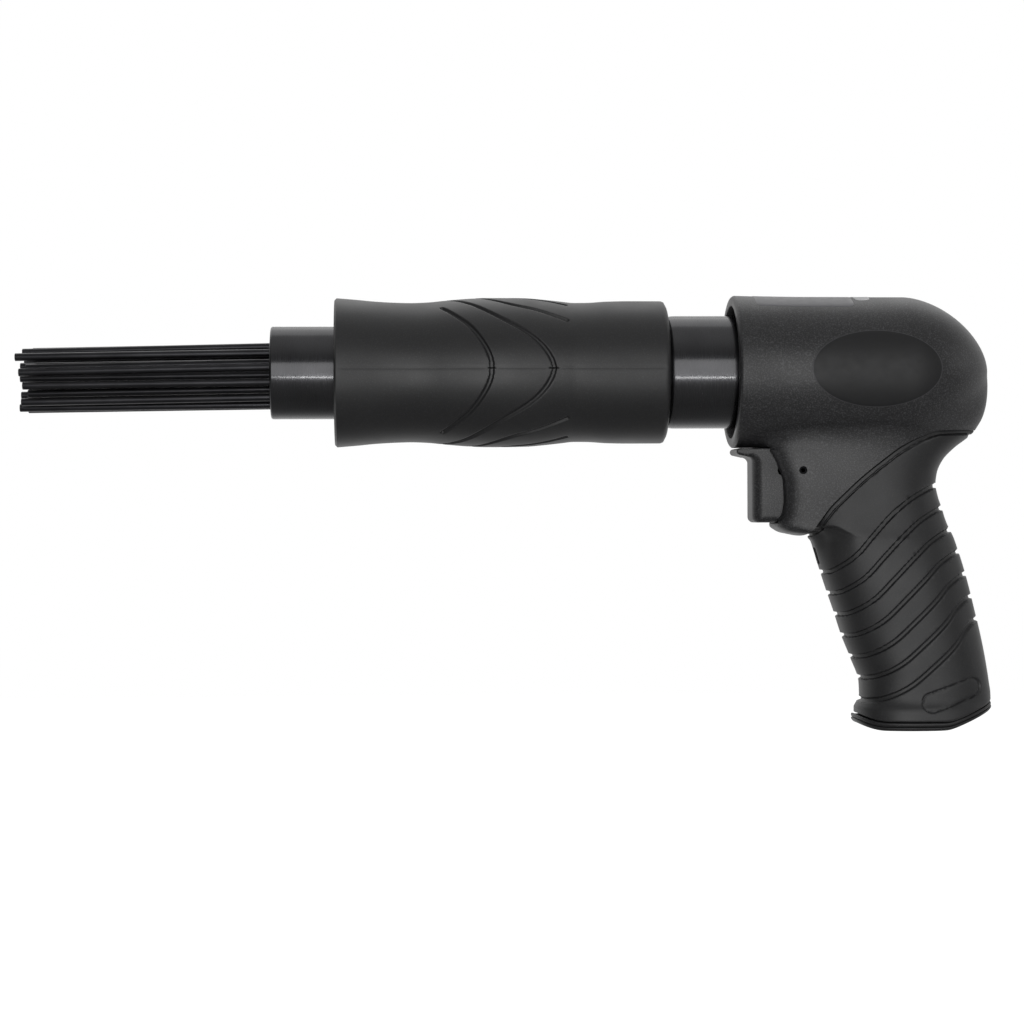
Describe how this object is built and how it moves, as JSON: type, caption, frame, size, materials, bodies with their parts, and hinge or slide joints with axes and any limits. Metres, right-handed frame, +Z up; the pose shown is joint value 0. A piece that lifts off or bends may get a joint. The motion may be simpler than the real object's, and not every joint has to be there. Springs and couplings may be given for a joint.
{
  "type": "air needle scaler",
  "caption": "Pistol grip air needle scaler: a hammer drives loose steel needles out of a nozzle; rubber sleeve and grip, sliding trigger, threaded air inlet in the base.",
  "frame": {"origin": "centre of the air inlet's mouth, in the flat underside of the base", "axes": "+X from the needles back along the barrel, +Z up from the base to the barrel, +Y completes the right-handed frame"},
  "size_m": [0.3771, 0.0596, 0.1688],
  "materials": {
    "black_steel": "polished black oxide",
    "needle_steel": "satin black oxide",
    "bright_steel": "ground bright",
    "spring_steel": "drawn wire",
    "sleeve_rubber": "moulded matte",
    "grip_rubber": "moulded matte",
    "seal_rubber": "smooth",
    "composite": "fine spark texture",
    "cap_plastic": "smooth satin",
    "trigger_plastic": "smooth satin",
    "label_dark": "smooth satin film",
    "label_grey": "satin film",
    "label_pale": "satin film",
    "brass": "turned",
    "aluminium": "turned"
  },
  "bodies": {
    "body": {"housing": "composite", "rubber_grip": "grip_rubber", "base_cap": "cap_plastic", "inlet_bush": "bright_steel", "inlet_filter": "brass", "inlet_seal": "seal_rubber", "barrel_bush": "aluminium", "hammer_cylinder": "bright_steel", "cylinder_seal": "seal_rubber", "valve_seat": "brass", "valve_cover": "aluminium", "valve_dowel": "bright_steel", "rear_buffer": "seal_rubber", "throttle_bush": "brass", "trigger_pin": "bright_steel", "barrel_collar": "black_steel", "nozzle_tube": "black_steel", "front_sleeve": "sleeve_rubber", "spring_seat": "bright_steel", "return_spring": "spring_steel", "anvil_buffer": "seal_rubber", "throttle_spring": "spring_steel", "side_label": "label_dark", "top_label": "label_grey", "small_label": "label_pale"},
    "trigger": {"trigger": "trigger_plastic"},
    "throttle": {"throttle_stem": "brass", "throttle_seal": "seal_rubber"},
    "hammer": {"piston": "bright_steel"},
    "cycle_valve": {"valve_disc": "bright_steel"},
    "carrier": {"needle_holder": "bright_steel", "anvil": "bright_steel", "holder_ring": "spring_steel"},
    "needle_01": {"needle_01": "needle_steel"},
    "needle_02": {"needle_02": "needle_steel"},
    "needle_03": {"needle_03": "needle_steel"},
    "needle_04": {"needle_04": "needle_steel"},
    "needle_05": {"needle_05": "needle_steel"},
    "needle_06": {"needle_06": "needle_steel"},
    "needle_07": {"needle_07": "needle_steel"},
    "needle_08": {"needle_08": "needle_steel"},
    "needle_09": {"needle_09": "needle_steel"},
    "needle_10": {"needle_10": "needle_steel"},
    "needle_11": {"needle_11": "needle_steel"},
    "needle_12": {"needle_12": "needle_steel"},
    "needle_13": {"needle_13": "needle_steel"},
    "needle_14": {"needle_14": "needle_steel"},
    "needle_15": {"needle_15": "needle_steel"},
    "needle_16": {"needle_16": "needle_steel"},
    "needle_17": {"needle_17": "needle_steel"},
    "needle_18": {"needle_18": "needle_steel"},
    "needle_19": {"needle_19": "needle_steel"}
  },
  "joints": [
    {"name": "air_trigger_pull", "type": "slide", "parent": "body", "child": "trigger", "axis": [1, 0, 0], "range_m": [0, 0.006], "stiffness_N_per_m": 900, "springref_m": -0.006},
    {"name": "air_valve_stem", "type": "slide", "parent": "body", "child": "throttle", "axis": [1, 0, 0], "range_m": [0, 0.006], "deforming": ["throttle_spring"]},
    {"name": "anvil_stroke", "type": "slide", "parent": "body", "child": "carrier", "axis": [-1, 0, 0], "range_m": [0, 0.008], "stiffness_N_per_m": 2500, "springref_m": -0.006, "deforming": ["return_spring"]},
    {"name": "cycle_valve_flutter", "type": "slide", "parent": "body", "child": "cycle_valve", "axis": [1, 0, 0], "range_m": [0, 0.002]},
    {"name": "hammer_stroke", "type": "slide", "parent": "body", "child": "hammer", "axis": [-1, 0, 0], "range_m": [0, 0.049]},
    {"name": "needle_01_float", "type": "slide", "parent": "carrier", "child": "needle_01", "axis": [-0.9999, 0.0018, -0.0155], "range_m": [-0.00488, 0.00492]},
    {"name": "needle_02_float", "type": "slide", "parent": "carrier", "child": "needle_02", "axis": [-0.9999, -0.003, -0.0147], "range_m": [-0.00618, 0.00362]},
    {"name": "needle_03_float", "type": "slide", "parent": "carrier", "child": "needle_03", "axis": [-0.9998, 0.0036, -0.0197], "range_m": [-0.00348, 0.00632]},
    {"name": "needle_04_float", "type": "slide", "parent": "carrier", "child": "needle_04", "axis": [-0.9999, 0.0018, -0.0131], "range_m": [-0.00514, 0.00466]},
    {"name": "needle_05_float", "type": "slide", "parent": "carrier", "child": "needle_05", "axis": [-0.9999, -0.0024, -0.0171], "range_m": [-0.00254, 0.00726]},
    {"name": "needle_06_float", "type": "slide", "parent": "carrier", "child": "needle_06", "axis": [-0.9998, 0.0006, -0.0191], "range_m": [-0.00592, 0.00388]},
    {"name": "needle_07_float", "type": "slide", "parent": "carrier", "child": "needle_07", "axis": [-0.9999, 0.0024, -0.0162], "range_m": [-0.00384, 0.00596]},
    {"name": "needle_08_float", "type": "slide", "parent": "carrier", "child": "needle_08", "axis": [-0.9998, -0.0001, -0.0181], "range_m": [-0.00436, 0.00544]},
    {"name": "needle_09_float", "type": "slide", "parent": "carrier", "child": "needle_09", "axis": [-0.9999, 0.0018, -0.0114], "range_m": [-0.00566, 0.00414]},
    {"name": "needle_10_float", "type": "slide", "parent": "carrier", "child": "needle_10", "axis": [-0.9999, -0.0042, -0.0134], "range_m": [-0.00306, 0.00674]},
    {"name": "needle_11_float", "type": "slide", "parent": "carrier", "child": "needle_11", "axis": [-0.9999, 0.0007, -0.0167], "range_m": [-0.00644, 0.00336]},
    {"name": "needle_12_float", "type": "slide", "parent": "carrier", "child": "needle_12", "axis": [-0.9999, -0.0035, -0.0138], "range_m": [-0.0041, 0.0057]},
    {"name": "needle_13_float", "type": "slide", "parent": "carrier", "child": "needle_13", "axis": [-0.9999, -0.0005, -0.0158], "range_m": [-0.00212, 0.00768]},
    {"name": "needle_14_float", "type": "slide", "parent": "carrier", "child": "needle_14", "axis": [-0.9998, -0.0041, -0.0201], "range_m": [-0.0054, 0.0044]},
    {"name": "needle_15_float", "type": "slide", "parent": "carrier", "child": "needle_15", "axis": [-0.9998, 0.0024, -0.0182], "range_m": [-0.0015, 0.0083]},
    {"name": "needle_16_float", "type": "slide", "parent": "carrier", "child": "needle_16", "axis": [-0.9998, 0, -0.022], "range_m": [-0.00462, 0.00518]},
    {"name": "needle_17_float", "type": "slide", "parent": "carrier", "child": "needle_17", "axis": [-0.9999, -0.0013, -0.0158], "range_m": [-0.0067, 0.0031]},
    {"name": "needle_18_float", "type": "slide", "parent": "carrier", "child": "needle_18", "axis": [-0.9998, 0.0035, -0.0197], "range_m": [-0.00504, 0.00476]},
    {"name": "needle_19_float", "type": "slide", "parent": "carrier", "child": "needle_19", "axis": [-0.9999, 0.0047, -0.0132], "range_m": [-0.00358, 0.00622]}
  ],
  "couplings": [
    {"joint": "air_valve_stem", "follows": "air_trigger_pull", "ratio": 1}
  ]
}
